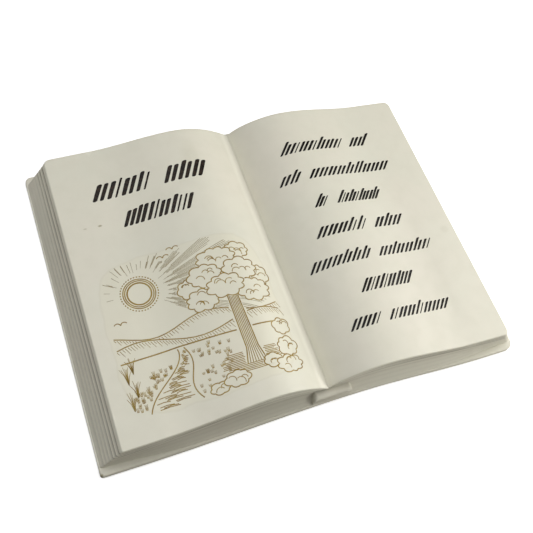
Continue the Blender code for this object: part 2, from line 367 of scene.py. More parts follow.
def build_block():
    columns = page_columns()
    last = len(columns) - 1
    shape = bmesh.new()
    bmesh.ops.create_grid(shape, x_segments=last, y_segments=PAGE_ROWS, size=1.0)
    rim = {}
    for vert in shape.verts:
        column = columns[round((vert.co.x + 1) / 2 * last)]
        place = (*column, (vert.co.y + 1) / 2)
        vert.co = open_page(place)
        if vert.is_boundary:
            rim[vert] = place
    for step in range(1, EDGE_STEPS + 1):
        rim = extrude_rim(shape, rim, page_edge, pi / 2 * step / EDGE_STEPS)
    rings = LEAF_BUNDLES * RINGS_IN_BUNDLE
    for ring in range(1, rings):
        rim = extrude_rim(shape, rim, leaf_edge, ring / rings)
    extrude_rim(shape, rim, sunk_foot)
    close_foot(shape)
    return object_from(shape, "book_casting")


book = build_block()
print("block of leaves:", len(book.data.polygons), "faces")

# %% [markdown]
# ## The cover board
#
# The cover is a flat board a little larger than the block, with small rounded corners and a
# front edge that is drawn in slightly. It is built as a stack of outlines with a skin between
# each two. The casting's edges aren't sharp, so the upper outlines turn over in a small
# radius, and a slow noise wears them back by a tenth of a millimetre here and there.

# %% The cover board
COVER_EDGE_ROUND = 0.0005
COVER_CORNER_STEPS = 8
COVER_SPACING = 0.0022
COVER_WEAR = 0.00016
COVER_WEAR_SCALE = 130.0
FOOT_INSET = 0.00025
FOOT_RISE = 0.0003
COVER_LEVELS = [
    (FOOT_INSET, 0.0), (0.0, FOOT_RISE), (0.0, COVER_THICKNESS - COVER_EDGE_ROUND)]
COVER_LEVELS += [
    (COVER_EDGE_ROUND * (1 - cos(radians(angle))),
     COVER_THICKNESS - COVER_EDGE_ROUND * (1 - sin(radians(angle))))
    for angle in (22.5, 45.0, 67.5, 90.0)]


def filled_in(points, spacing):
    """The same closed outline with points no further apart than the spacing."""
    dense = []
    for (x0, y0), (x1, y1) in zip(points, points[1:] + points[:1]):
        pieces = max(1, round(hypot(x1 - x0, y1 - y0) / spacing))
        for piece in range(pieces):
            share = piece / pieces
            dense.append((x0 + (x1 - x0) * share, y0 + (y1 - y0) * share))
    return dense


def cover_outline():
    """Plan of the cover board, counter-clockwise from its front left corner."""
    points = []
    for corner, ((side_x, side_y), radius) in enumerate(CORNER_RADII.items()):
        centre_x = side_x * (COVER_WIDTH / 2 - radius)
        centre_y = side_y * (COVER_DEPTH / 2 - radius)
        for step in range(COVER_CORNER_STEPS + 1):
            angle = pi + (corner + step / COVER_CORNER_STEPS) * pi / 2
            points.append((centre_x + radius * cos(angle), centre_y + radius * sin(angle)))
    return filled_in(points, COVER_SPACING)


def cover_point(x, y, inset, z):
    """A point of one outline of the cover, drawn in by the inset, the bow and the wear."""
    inset += COVER_WEAR * unevenness(x, y, z, COVER_WEAR_SCALE) * (z / COVER_THICKNESS)
    drawn_in = bow(x, COVER_BOW, COVER_BOW_CENTRE) if y < 0 else 0.0
    return Vector((
        x * (1 - inset / (COVER_WIDTH / 2)),
        y * (1 - inset / (COVER_DEPTH / 2)) + drawn_in,
        z))


def skin_between(shape, rings):
    """Joins closed rings of vertices one after another and fills the first and the last."""
    for lower, upper in zip(rings, rings[1:]):
        for i in range(len(lower)):
            j = (i + 1) % len(lower)
            shape.faces.new((lower[i], lower[j], upper[j], upper[i]))
    shape.faces.new(tuple(reversed(rings[0])))
    shape.faces.new(tuple(rings[-1]))


def build_cover():
    shape = bmesh.new()
    outline = cover_outline()
    rings = [
        [shape.verts.new(cover_point(x, y, inset, z)) for x, y in outline]
        for inset, z in COVER_LEVELS]
    skin_between(shape, rings)
    bmesh.ops.recalc_face_normals(shape, faces=shape.faces)
    return object_from(shape, "cover_board")


cover = build_cover()
print("cover:", len(cover.data.polygons), "faces")

# %% [markdown]
# ## The ends of the spine
#
# Under the gutter the spine shows at both ends of the book as a short post that is flush
# with the cover's edge. It is one outline, drawn as seen from the front and repeated
# outwards, lower and lower over a rounded shoulder. On the front post's shoulder sits a
# small lump of resin, where the mould had a flaw.

# %% The ends of the spine
SPINE_WIDTH = 0.0165
SPINE_CENTRE = 0.0022
SPINE_BELOW_PAGES = 0.0024
SPINE_SETBACK = 0.0001
SPINE_FOOT = 0.0006
SPINE_CORNER = 0.0014
SPINE_SHOULDER = 0.0014
SPINE_STEPS = 8
SPINE_SLICES = 5
LUMP_PLACE = (0.0084, -0.0629, 0.0078)
LUMP_RADIUS = 0.0011
LUMP_STRETCH = (1.5, 1.0, 0.8, 1.0)


def spine_outline(height):
    """The end of the spine seen from the front: a short post with rounded upper corners."""
    straight = SPINE_WIDTH / 2 - SPINE_CORNER
    right = [(SPINE_WIDTH / 2, SPINE_FOOT)]
    for step in range(SPINE_STEPS + 1):
        angle = pi / 2 * step / SPINE_STEPS
        right.append((
            straight + SPINE_CORNER * cos(angle), height - SPINE_CORNER * (1 - sin(angle))))
    return right + [(-x, z) for x, z in reversed(right)]


def build_spine_end(side):
    """One end of the spine, from inside the leaves to the cover's edge."""
    margin, drawn_in = (FRONT_MARGIN, COVER_BOW) if side < 0 else (BACK_MARGIN, 0.0)
    inner = COVER_DEPTH / 2 - margin - END_SWEEP - PAGE_BOW - SINK
    outer = COVER_DEPTH / 2 - drawn_in - SPINE_SETBACK
    height = page_height(0.0, side * outer) - SPINE_BELOW_PAGES
    straight = outer - SPINE_SHOULDER - inner
    levels = [(inner + straight * piece / SPINE_SLICES, height) for piece in range(SPINE_SLICES)]
    for step in range(SPINE_STEPS + 1):
        angle = pi / 2 * step / SPINE_STEPS
        levels.append((
            outer - SPINE_SHOULDER * (1 - sin(angle)), height - SPINE_SHOULDER * (1 - cos(angle))))
    shape = bmesh.new()
    rings = [
        [shape.verts.new((SPINE_CENTRE + x, side * y, z)) for x, z in spine_outline(top)]
        for y, top in levels]
    skin_between(shape, rings)
    bmesh.ops.recalc_face_normals(shape, faces=shape.faces)
    return object_from(shape, "spine_end")


def build_lump():
    """A small lump of resin on the shoulder of the front post."""
    shape = bmesh.new()
    place = Matrix.Translation(LUMP_PLACE) @ Matrix.Diagonal(LUMP_STRETCH)
    bmesh.ops.create_icosphere(shape, subdivisions=3, radius=LUMP_RADIUS, matrix=place)
    return object_from(shape, "lump")


spine_parts = [build_spine_end(-1), build_spine_end(1), build_lump()]
print("spine front at", [round(value, 4) for value in spine_parts[0].bound_box[0]])

# %% [markdown]
# ## The rows of the inscription
#
# Each row has its own start, end, line and height, as shares of the page, and its marks come
# in groups with a gap between them. A mark is a few slanted strokes side by side, thick and
# thin, tall and short. They are parallel and never touch, so no two make a letter. The small
# value is the height of a short stroke, as a share of a tall one.

# %% The rows of the inscription
Row = namedtuple("Row", "start end line height groups small")
INSCRIPTION = [
    Row(-0.80, -0.22, 0.573, 0.136, (4, 3), 0.90),
    Row(-0.69, -0.34, 0.354, 0.124, (3,), 0.90),
    Row(0.22, 0.75, 0.610, 0.104, (7, 2), 0.76),
    Row(0.15, 0.81, 0.390, 0.095, (2, 9), 0.76),
    Row(0.28, 0.67, 0.172, 0.096, (1, 4), 0.76),
    Row(0.22, 0.73, -0.044, 0.100, (5, 3), 0.76),
    Row(0.12, 0.83, -0.254, 0.092, (6, 6), 0.76),
    Row(0.32, 0.62, -0.470, 0.097, (3,), 0.90),
    Row(0.19, 0.76, -0.684, 0.092, (3, 7), 0.76),
]
LEFT_SLANT = 0.52
RIGHT_SLANT = 0.85
STROKE_PITCH = 0.31
THICK = 0.225
THIN = 0.11
TALL_CHANCE = 0.35
THIN_CHANCE = 0.25
MARK_SHARE = 0.95
HEIGHT_VARIES = (0.95, 1.0)
WIDTH_VARIES = (0.92, 1.08)
Stroke = namedtuple("Stroke", "x y width height slant")


def marks_in(row):
    """Where a row's marks are: evenly spaced, with one place left empty between groups."""
    slots = sum(row.groups) + len(row.groups) - 1
    pitch = (row.end - row.start) * PAGE_HALF_WIDTH / slots
    slot = 0
    for group in row.groups:
        for _ in range(group):
            yield row.start * PAGE_HALF_WIDTH + slot * pitch, pitch
            slot += 1
        slot += 1


def strokes_in(row, chance):
    """The strokes of a row, a few to each mark, all standing on the row's line."""
    base = (row.line + 0.5 * row.height) * COVER_DEPTH / 2
    full = row.height * COVER_DEPTH / 2
    slant = LEFT_SLANT if row.start < 0 else RIGHT_SLANT
    for left, pitch in marks_in(row):
        count = max(2, round(pitch / (STROKE_PITCH * full)))
        first_tall = chance.random() < TALL_CHANCE
        for place in range(count):
            x = left + pitch * MARK_SHARE * (place + 0.5) / count
            tall = first_tall if place == 0 else chance.random() < TALL_CHANCE / 2
            height = full * (1.0 if tall else row.small) * chance.uniform(*HEIGHT_VARIES)
            thin = place > 0 and chance.random() < THIN_CHANCE
            width = full * (THIN if thin else THICK) * chance.uniform(*WIDTH_VARIES)
            rise = (height - full) / 2
            yield Stroke(x + slant * rise, base + rise, width, height, slant)


chance = Random(11)
strokes = [stroke for row in INSCRIPTION for stroke in strokes_in(row, chance)]
print("inscription:", len(strokes), "strokes in", len(INSCRIPTION), "rows")

# %% [markdown]
# ## Cutting the strokes
#
# Each stroke is cut out of the page by a bar with rounded ends and sloping walls. All bars
# are one mesh, laid on the slope of the page, and one Boolean cuts them at once. The bars
# carry the paint as their second material, so the floor and walls of every cut come out
# painted, and the paint can't stray onto the page.

# %% Cutting the strokes
STROKE_DEPTH = 0.00038
STROKE_CLEAR = 0.0010
STROKE_CHAMFER = 0.00016
STROKE_END_STEPS = 5
END_ROUND = 0.5
FOOT_FLARE = 0.88
NARROWEST_FLOOR = 0.35
END_SLOPE = 0.1
PAINT = 1


def stroke_outline(width, height):
    """A bar with rounded ends, a little wider at its top, counter-clockwise."""
    radius = width / 2
    rounding = radius * END_ROUND
    points = []
    for end, flare in ((-1, FOOT_FLARE), (1, 1.0)):
        for step in range(STROKE_END_STEPS + 1):
            angle = pi * step / STROKE_END_STEPS + (pi if end < 0 else 0.0)
            y = end * (height / 2 - rounding) + rounding * sin(angle)
            points.append((radius * flare * cos(angle), y))
    return points


def cut_stroke(shape, stroke):
    """Adds the cutter of one stroke, tilted with the slope of the page."""
    reach = stroke.width
    rise = page_height(stroke.x + reach, stroke.y) - page_height(stroke.x - reach, stroke.y)
    tilted = Matrix.Rotation(-atan(rise / (2 * reach)), 4, "Y")
    on_page = Matrix.Translation((stroke.x, stroke.y, page_height(stroke.x, stroke.y)))
    outline = stroke_outline(stroke.width, stroke.height)
    chamfer = 1 - 2 * STROKE_CHAMFER / stroke.width
    floor = max(chamfer, NARROWEST_FLOOR)
    rings = []
    for scale, z in ((floor, -STROKE_DEPTH), (1.0, 0.0), (1.0, STROKE_CLEAR)):
        flat = [
            (x * scale + y * stroke.slant, y - y * (1 - scale) * END_SLOPE) for x, y in outline]
        rings.append([shape.verts.new(on_page @ tilted @ Vector((x, y, z))) for x, y in flat])
    skin_between(shape, rings)


def build_stroke_cutter():
    shape = bmesh.new()
    for stroke in strokes:
        cut_stroke(shape, stroke)
    bmesh.ops.recalc_face_normals(shape, faces=shape.faces)
    for face in shape.faces:
        face.material_index = PAINT
    return object_from(shape, "stroke_cutter")


stroke_cutter = build_stroke_cutter()
print("cutter:", len(stroke_cutter.data.polygons), "faces")

# %% [markdown]
# ## One casting
#
# The block, the cover, the spine ends and the lump were poured as one, so they are joined
# into one mesh, and the strokes are cut from it. Both sides of the Boolean carry the same
# two materials in the same order. The result is shaded smooth, with hard lines kept wherever
# two faces meet at more than 32 degrees.

# %% One casting
SHARP_ANGLE = radians(32)
cream_resin = bpy.data.materials.new("cream_resin")
lettering_paint = bpy.data.materials.new("lettering_paint")


def combine(target, tool, operation):
    """Adds a Boolean modifier that joins the tool to the target or cuts it out."""
    modifier = target.modifiers.new(tool.name, "BOOLEAN")
    modifier.operation = operation
    modifier.solver = "MANIFOLD"
    modifier.object = tool


def settle(target, tools):
    """Applies the target's modifiers and removes the tools that they used."""
    depsgraph = bpy.context.evaluated_depsgraph_get()
    shaped = bpy.data.meshes.new_from_object(target.evaluated_get(depsgraph))
    target.modifiers.clear()
    rough = target.data
    target.data = shaped
    bpy.data.meshes.remove(rough)
    for tool in tools:
        bpy.data.meshes.remove(tool.data)


for piece in [book, cover, stroke_cutter, *spine_parts]:
    piece.data.materials.append(cream_resin)
    piece.data.materials.append(lettering_paint)
for piece in [cover, *spine_parts]:
    combine(book, piece, "UNION")
combine(book, stroke_cutter, "DIFFERENCE")
settle(book, [cover, stroke_cutter, *spine_parts])
book.data.shade_smooth()
book.data.set_sharp_from_angle(angle=SHARP_ANGLE)
painted = sum(face.material_index == PAINT for face in book.data.polygons)
print("casting:", len(book.data.polygons), "faces,", painted, "of them painted")

# %% [markdown]
# ## Where the dirt and the painted shade lie
#
# Dust and damp settle in the grooves between the leaves, and painted shade darkens them
# further. The hollow below the leaves, the shoulders and faces of the spine's ends and, thinly,
# the cover's front lip are darkened with painted shade. The same formula that cut the grooves
# says where they are, so each vertex of the casting is given a share of dirt and painted shade,
# which the resin's finish reads back as an attribute. The painted shade on the ledge to the
# right of the spine is lighter than on the one to its left, as if light fell from the right.

# %% Where the dirt and the painted shade lie
# Painted shade: the hollow, the spine's posts and ledges and the front lip are darkened.
HOLLOW_SHADE = 0.42
HOLLOW_DOWN = (0.35, 0.60)
LEDGE_SHADE = 0.7
SHEET_DIRT_AND_SHADE = 0.12
POST_SHADE = 0.16
LIP_SHADE = 0.22
LIP_FADE = (0.004, 0.002)
END_DIRT_AND_SHADE = 1.6
END_FROM_CORNER = (-0.0002, 0.0008)
FOOT_SHARE = 0.65
FOOT_FADE = (-0.1, 0.35)
RIGHT_LESS_SHADE = 0.7
LESS_SHADE_FROM = (-0.01, 0.02)
TOUCH = 0.0002
WALL_CLEAR = 0.0003


def on_spine(x, y):
    """Whether a point lies on one of the spine's ends, outside the leaves."""
    wall = COVER_DEPTH / 2 - FRONT_MARGIN - END_SWEEP - PAGE_BOW
    return abs(x - SPINE_CENTRE) < SPINE_WIDTH / 2 + TOUCH and abs(y) > wall + WALL_CLEAR


def dirt_and_shade_at(x, y, z):
    """The share of dirt and painted shade at a point of the casting."""
    reach = PAGE_HALF_WIDTH - PAGE_EDGE_ROUND
    rim = page_height(min(max(x, -reach), reach), y) - PAGE_EDGE_ROUND
    shoulder = rim - SPINE_BELOW_PAGES
    # Painted shade lies heavier to the left of the spine than to its right.
    shade_to_left = 1 - RIGHT_LESS_SHADE * smooth_step(x, *LESS_SHADE_FROM)
    # Painted shade on the face and the shoulder of the spine's post.
    if on_spine(x, y) and z < shoulder + TOUCH:
        return POST_SHADE + LEDGE_SHADE * smooth_step(z, shoulder - SPINE_SHOULDER, shoulder)
    # Painted shade on the cover's front lip.
    if z < COVER_THICKNESS + TOUCH:
        lip = smooth_step(-y, COVER_DEPTH / 2 - LIP_FADE[0], COVER_DEPTH / 2 - LIP_FADE[1])
        return LIP_SHADE * lip * shade_to_left
    down = (rim - z) / (rim - COVER_THICKNESS)
    if down <= 0.0:
        return 0.0
    along = 0.5 + y / COVER_DEPTH
    fore_edge, end, sheets = groove_share(min(down, 1.0), along, x, y)
    from_corner = PAGE_HALF_WIDTH + FORE_EDGE_LEAN * down - abs(x)
    is_end = smooth_step(from_corner, *END_FROM_CORNER)
    # The grooves are darkened with dirt and painted shade, most of all on the ends.
    groove = fore_edge + (END_DIRT_AND_SHADE * end - fore_edge) * is_end
    foot = FOOT_SHARE + (1 - FOOT_SHARE) * smooth_step(1.0 - down, *FOOT_FADE)
    # Painted shade in the hollow below the leaves.
    hollow = HOLLOW_SHADE * smooth_step(down, *HOLLOW_DOWN) * foot * is_end * shade_to_left
    return min(1.0, groove + SHEET_DIRT_AND_SHADE * sheets + hollow)


def note_on_book(name, share_at):
    """Stores a share for each vertex of the book, for its finish to read."""
    noted = book.data.attributes.new(name, "FLOAT", "POINT")
    noted.data.foreach_set("value", [share_at(*vert.co) for vert in book.data.vertices])
    print(name, "vertices:", sum(entry.value > 0.3 for entry in noted.data))


note_on_book("dirt_and_shade", dirt_and_shade_at)

# %% [markdown]
# ## Where the painted highlights lie
#
# A narrow strip of the left page beside the gutter, whose slope faces the light, is painted
# paler than the rest as a highlight, most of all at the front, and so is the outer rim of the
# cover along both fore-edges. The shares are stored in the same way, under a second name.

# %% Where the painted highlights lie
STRIP_OUTER = (-0.0050, -0.0030)
STRIP_INNER = (-0.0002, 0.0008)
STRIP_FADE = 0.35
RIM_FROM = 0.0015
RIM_TO = 0.0007
RIM_CORNER = (0.002, 0.006)


def painted_highlight_at(x, y, z):
    """The share of painted highlight at a point of the casting."""
    # Painted highlight on the cover's rim along both fore-edges.
    if z < COVER_THICKNESS + TOUCH:
        rim = smooth_step(abs(x), COVER_WIDTH / 2 - RIM_FROM, COVER_WIDTH / 2 - RIM_TO)
        return rim * smooth_step(COVER_DEPTH / 2 - abs(y), *RIM_CORNER)
    if z < page_height(x, y) - PAGE_EDGE_ROUND:
        return 0.0
    # Painted highlight on the left page's slope beside the gutter, strongest at the front.
    along = 0.5 + y / COVER_DEPTH
    beside_gutter = smooth_step(x, *STRIP_OUTER) * smooth_step(-x, *STRIP_INNER)
    return beside_gutter * (1.0 - STRIP_FADE * along)


note_on_book("pale", painted_highlight_at)

# %% [markdown]
# ## Drawing with thin lines on a curved page
#
# The picture is a transfer print: fine lines of gold ink on a clear film. Each line becomes a
# thin raised strip that follows the page. Lines are planned in millimetres on the flat page.
# A shape in front hides what is behind it, so the front shapes are drawn first and every
# later line is cut where it would pass behind one of them. Each line also says how faded its
# ink is.

# %% Drawing with thin lines on a curved page
MM = 0.001
INK_HEIGHT = 0.00004
INK_SINK = 0.00004
LINE_SPACING = 0.8
Line = namedtuple("Line", "points widths faded")
picture = []
front_shapes = []


def covered(x, y):
    """Whether a point of the page lies behind one of the front shapes."""
    for outline in front_shapes:
        inside = False
        for (x0, y0), (x1, y1) in zip(outline, outline[1:] + outline[:1]):
            if (y0 > y) != (y1 > y) and x < x0 + (y - y0) / (y1 - y0) * (x1 - x0):
                inside = not inside
        if inside:
            return True
    return False


def evenly(points, spacing):
    """The same open line with points at an even spacing."""
    even = [points[0]]
    for (x0, y0), (x1, y1) in zip(points, points[1:]):
        pieces = max(1, round(hypot(x1 - x0, y1 - y0) / spacing))
        for piece in range(1, pieces + 1):
            share = piece / pieces
            even.append((x0 + (x1 - x0) * share, y0 + (y1 - y0) * share))
    return even


def draw(points, width=0.24, start=1.0, end=1.0, faded=0.0):
    """Draws a line of the picture, tapering at its ends, wherever nothing is in front."""
    points = evenly(points, LINE_SPACING)
    run = []
    for i, (x, y) in enumerate(points):
        share = i / (len(points) - 1)
        if covered(x, y):
            keep(run, faded)
            run = []
        else:
            run.append((x, y, width * (start + (end - start) * share)))
    keep(run, faded)


def keep(run, faded):
    """Adds an unbroken run of a line to the picture, if it is more than one point."""
    if len(run) > 1:
        picture.append(Line([(x, y) for x, y, _ in run], [width for *_, width in run], faded))


def put_in_front(outline):
    """Lets a closed shape hide all lines that are drawn after it."""
    front_shapes.append(outline)


print("lines are planned every", LINE_SPACING, "mm")

# %% [markdown]
# ## The tree and the bushes of the picture
#
# The picture is a river valley: a spreading tree on the right with its shade under it, a
# stream, hills, and a small sun. The leafy masses come first, because they stand in front.
# Scalloped outlines serve for the tree and for the bushes, each lobe as wide as chance has it.

# %% The tree and the bushes of the picture
OUTLINE = 0.50
LOBE_STEPS = 7
LOBE_DEPTH = 0.20


def arc(centre, radius, start, end, steps=24, squash=1.0):
    """Points of an arc, with the angles in degrees."""
    angles = [radians(start + (end - start) * step / steps) for step in range(steps + 1)]
    return [(centre[0] + radius * cos(a), centre[1] + radius * squash * sin(a)) for a in angles]


def scalloped(centre, width, height, count, chance):
    """A closed outline of rounded lobes, as of leaves seen from afar."""
    weights = [chance.uniform(0.7, 1.3) for _ in range(count)]
    total = sum(weights)
    points = []
    angle = chance.uniform(0, 2 * pi)
    for weight in weights:
        span = 2 * pi * weight / total
        for step in range(LOBE_STEPS):
            share = step / LOBE_STEPS
            reach = 1 + LOBE_DEPTH * sin(pi * share) * weight
            turn = angle + span * share
            points.append((
                centre[0] + width / 2 * reach * cos(turn),
                centre[1] + height / 2 * reach * sin(turn)))
        angle += span
    return points


def leafy(centre, width, height, count, chance):
    """A scalloped mass with a few loose arcs inside it."""
    outline = scalloped(centre, width, height, count, chance)
    draw(outline + outline[:1], OUTLINE)
    for _ in range(count // 2):
        turn, reach = chance.uniform(0, 2 * pi), chance.uniform(0.25, 0.62)
        middle = (
            centre[0] + width / 2 * reach * cos(turn),
            centre[1] + height / 2 * reach * sin(turn))
        start = chance.uniform(-30, 60)
        draw(arc(middle, chance.uniform(1.0, 1.8), start, start + 150, 8), 0.36)
    put_in_front(outline)


def draw_trunk(foot, top, width, lines):
    """A trunk as upright lines, spread at the foot."""
    spread, waist, crown = width * 0.9, width * 0.55, width * 0.45
    for line in range(lines):
        side = 2 * line / (lines - 1) - 1
        outer = line in (0, lines - 1)
        draw([(foot[0] + side * spread, foot[1]), (foot[0] + side * waist, foot[1] + 6),
              (top[0] + side * crown, top[1])], 0.52 if outer else 0.34)
    put_in_front([
        (foot[0] - spread, foot[1]), (top[0] - crown, top[1]),
        (top[0] + crown, top[1]), (foot[0] + spread, foot[1])])


def draw_tree(chance):
    """A spreading tree: the masses of its crown from front to back, then its trunk."""
    for x, y, width, height, count in (
            (-28.0, -13.5, 13.0, 8.5, 9), (-38.0, -17.0, 11.0, 8.0, 9),
            (-17.5, -17.5, 11.5, 8.5, 9), (-34.5, -7.5, 12.0, 8.5, 9),
            (-20.5, -8.0, 12.5, 9.0, 9), (-28.0, -1.5, 14.0, 8.5, 10),
            (-42.0, -11.0, 7.5, 7.0, 7), (-13.0, -11.5, 7.0, 8.0, 7), (-19.0, 0.5, 9.0, 6.5, 8)):
        leafy((x, y), width, height, count, chance)
    draw_trunk((-26.5, -46.5), (-27.0, -14.0), 4.2, 8)


def draw_bushes(chance):
    """Low bushes along the right side and the foot of the picture, the nearest ones first."""
    for x, y, width, height, count in (
            (-14.0, -50.0, 9.5, 6.0, 8), (-12.5, -43.0, 7.5, 7.0, 7),
            (-20.5, -47.5, 6.5, 5.0, 6), (-35.5, -50.5, 8.5, 5.5, 7),
            (-12.0, -34.5, 6.5, 6.0, 6), (-42.5, -52.0, 6.5, 4.0, 6)):
        leafy((x, y), width, height, count, chance)


chance = Random(5)
draw_bushes(chance)
draw_tree(chance)
print("tree and bushes:", len(picture), "lines")

# %% [markdown]
# ## The meadow and the stream of the picture
#
# The ground has reeds on the left bank, the tree's shade as dense level lines, and a stream
# that winds and widens towards the lower left. Both banks come from one function, and the
# ripples and the blades of grass are placed by it too.

# %% The meadow and the stream of the picture
PICTURE_LEFT, PICTURE_RIGHT, PICTURE_TOP = -74.0, -9.0, 10.5
BANK_STEPS = 16
RIPPLES = 46
FIRST_RIPPLE = 3
BANK_GAP = 0.6
GRASS_TUFTS = 90
GRASS_RIGHT = -30.0


def draw_reeds(chance):
    """Tufts of reeds on the left bank: a fan of thin lines from each foot."""
    for x, y in ((-73.5, -50.5), (-71.0, -46.0), (-73.0, -40.5), (-70.5, -37.0)):
        for blade in range(7):
            lean = (blade - 3) * 0.62 + chance.uniform(-0.25, 0.25)
            tall = chance.uniform(4.5, 7.5)
            draw([(x, y), (x + lean * 0.4, y + tall * 0.6), (x + lean, y + tall)], 0.34, 1.0, 0.5)


def draw_shade(chance):
    """The shade under the tree, as dense level lines on the ground."""
    for line in range(13):
        y = -41.5 - line * 0.62
        left = -40.5 + abs(line - 6) * 0.8 + chance.uniform(-1.5, 1.5)
        right = -15.0 - abs(line - 6) * 0.6 + chance.uniform(-1.5, 1.5)
        draw([(left, y), ((left + right) / 2, y - 0.2), (right, y)], 0.34)


def bank(side, share):
    """A point on one of the stream's banks, at a share of the way down to the front."""
    bend = 2.4 * sin(5.0 * share + 0.6)
    widening = (-12.5 if side < 0 else 4.5) * share ** 1.3
    return -53.0 + 1.2 * side + widening + bend, -32.6 - 20.6 * share


def draw_stream(chance):
    """The stream: two winding banks and ripples between them."""
    for side in (-1, 1):
        draw([bank(side, step / BANK_STEPS) for step in range(BANK_STEPS + 1)], OUTLINE)
    for step in range(FIRST_RIPPLE, RIPPLES):
        left, y = bank(-1, step / RIPPLES)
        right, _ = bank(1, step / RIPPLES)
        width = right - left - 2 * BANK_GAP
        begin = left + BANK_GAP + width * chance.uniform(0.0, 0.55)
        length = min(width * chance.uniform(0.3, 0.6), right - BANK_GAP - begin)
        draw([(begin, y), (begin + length / 2, y + 0.25), (begin + length, y)], 0.36)


def draw_grass(chance):
    """Short blades on the meadow between the stream and the tree, and along the left bank."""
    for _ in range(GRASS_TUFTS):
        share = chance.uniform(0.08, 0.95)
        x, y = bank(chance.choice((-1, 1)), share)
        x += chance.uniform(1.5, 15.0) if x > -56.0 + 4.0 * share else -chance.uniform(1.5, 9.0)
        if PICTURE_LEFT + 1.0 < x < GRASS_RIGHT:
            tall = chance.uniform(0.9, 1.8)
            for lean in (-0.5, 0.0, 0.5):
                draw([(x + lean * 0.5, y), (x + lean, y + tall)], 0.26, 1.0, 0.6)


draw_reeds(chance)
draw_shade(chance)
draw_stream(chance)
draw_grass(chance)
print("with the meadow and the stream:", len(picture), "lines")

# %% [markdown]
# ## The hills and the sky of the picture
#
# Two lines of hills are shaded by short hatching, and each one hides all that is below it.
# The sun is a small set of rings in the upper left. A ray is a tight bundle of fine lines of
# unlike lengths. The rays are printed paler than the rest, so their ink counts as faded.

# %% The hills and the sky of the picture
SUN = (-60.0, -6.5)
SUN_RADIUS = 4.6
RAY_START = 3.6
RAY_TURNS = (-34.0, 214.0)
RAY_SPREAD = 1.05
SHORTEST_RAY = 2.0
RAY_FADED = 0.75
HILL_STEPS = 21
GROUND_CORNERS = [(-9, -60), (-75, -60)]
SHORE = [(-74, -32.4), (-52, -31.8), (-30, -32.6), (-10, -32.0)]


def hatch_under(ridge, length, spacing):
    """Short slanted lines that hang under a ridge, as shading."""
    for i, (x, y) in enumerate(evenly(ridge, spacing)):
        drop = length * (0.55 + 0.45 * sin(i * 1.7) ** 2)
        draw([(x, y - 0.5), (x + drop * 0.45, y - drop)], 0.28, 1.0, 0.6)


def draw_hills():
    """The far edge of the meadow and two lines of hills, from front to back."""
    draw(SHORE, 0.6)
    put_in_front(SHORE + GROUND_CORNERS)
    for level, swell, pace, phase, hatching in (
            (-28.0, 2.4, 0.42, 0.5, 3.2), (-23.5, 2.2, 0.50, 2.4, 2.6)):
        ridge = [
            (-74 + step * 3.2, level + swell * sin(step * pace + phase))
            for step in range(HILL_STEPS)]
        draw(ridge, OUTLINE)
        hatch_under(ridge, hatching, 1.0)
        put_in_front(ridge + GROUND_CORNERS)


def draw_sun():
    """The sun as rings, with small dashes round them."""
    for ring, width in ((0.0, 0.7), (0.9, 0.5), (1.6, 0.5)):
        draw(arc(SUN, SUN_RADIUS + ring, 0, 360, 60), width)
    for turn in range(0, 360, 9):
        draw(arc(SUN, SUN_RADIUS + 2.6, turn, turn + 5, 4), 0.5)
    put_in_front(arc(SUN, SUN_RADIUS + 3.0, 0, 360, 60))


def draw_birds():
    """Three far birds over the hills."""
    for x, y in ((-47.5, 5.0), (-43.0, 7.5), (-70.0, -17.5)):
        draw(arc((x - 1.3, y), 1.3, 10, 150, 6), 0.42)
        draw(arc((x + 1.3, y), 1.3, 30, 170, 6), 0.42)
        put_in_front(arc((x, y + 0.5), 2.8, 0, 360, 20, 0.4))


def room(turn):
    """How far the picture reaches from the sun in a direction, with its corner cut round."""
    across, up = cos(radians(turn)), sin(radians(turn))
    half_width = (PICTURE_RIGHT if across > 0 else PICTURE_LEFT) - SUN[0]
    height = PICTURE_TOP - SUN[1]
    return ((across / half_width) ** 4 + (max(up, 0.0) / height) ** 4) ** -0.25


def from_sun(turn, distance):
    """The point at a distance from the sun, in a direction in degrees."""
    return SUN[0] + cos(radians(turn)) * distance, SUN[1] + sin(radians(turn)) * distance


def draw_rays(chance):
    """A fan of rays, each a tight bundle of fine lines of unlike lengths."""
    turn, last_turn = RAY_TURNS
    while turn < last_turn:
        limit = room(turn) * chance.uniform(0.86, 1.0)
        start = SUN_RADIUS + RAY_START + chance.uniform(0.0, 1.5)
        for line in range(-3, 4):
            aside = turn + line * RAY_SPREAD + chance.uniform(-0.15, 0.15)
            first = start + abs(line) * 1.6 + chance.uniform(0.0, 3.0)
            last = limit - abs(line) * 1.2 - chance.uniform(0.0, 4.0)
            if last - first > SHORTEST_RAY:
                draw([from_sun(aside, first), from_sun(aside, last)],
                     chance.uniform(0.17, 0.25), 0.7, 1.0, RAY_FADED)
        turn += chance.uniform(6.5, 10.5)


draw_hills()
draw_sun()
draw_birds()
draw_rays(chance)
print("picture:", len(picture), "lines")

# %% [markdown]
# ## The picture as a print
#
# Every planned line is laid on the page as a strip with a flat top and two sloping sides
# that dip into the surface, four points for each place along it. It follows the page because
# each point takes its height from the same formula that shaped the page.

# %% The picture as a print
FLAT_TOP = 0.8


def ink_section(previous, following, point, width):
    """Four points across a line of ink, at right angles to its direction."""
    along = Vector((following[0] - previous[0], following[1] - previous[1])).normalized()
    across = Vector((-along.y, along.x)) * width / 2
    places = []
    for share, rise in (
            (1.0, -INK_SINK), (FLAT_TOP, INK_HEIGHT), (-FLAT_TOP, INK_HEIGHT), (-1.0, -INK_SINK)):
        x = (point[0] + across.x * share) * MM
        y = (point[1] + across.y * share) * MM
        places.append(Vector((x, y, page_height(x, y) + rise)))
    return places


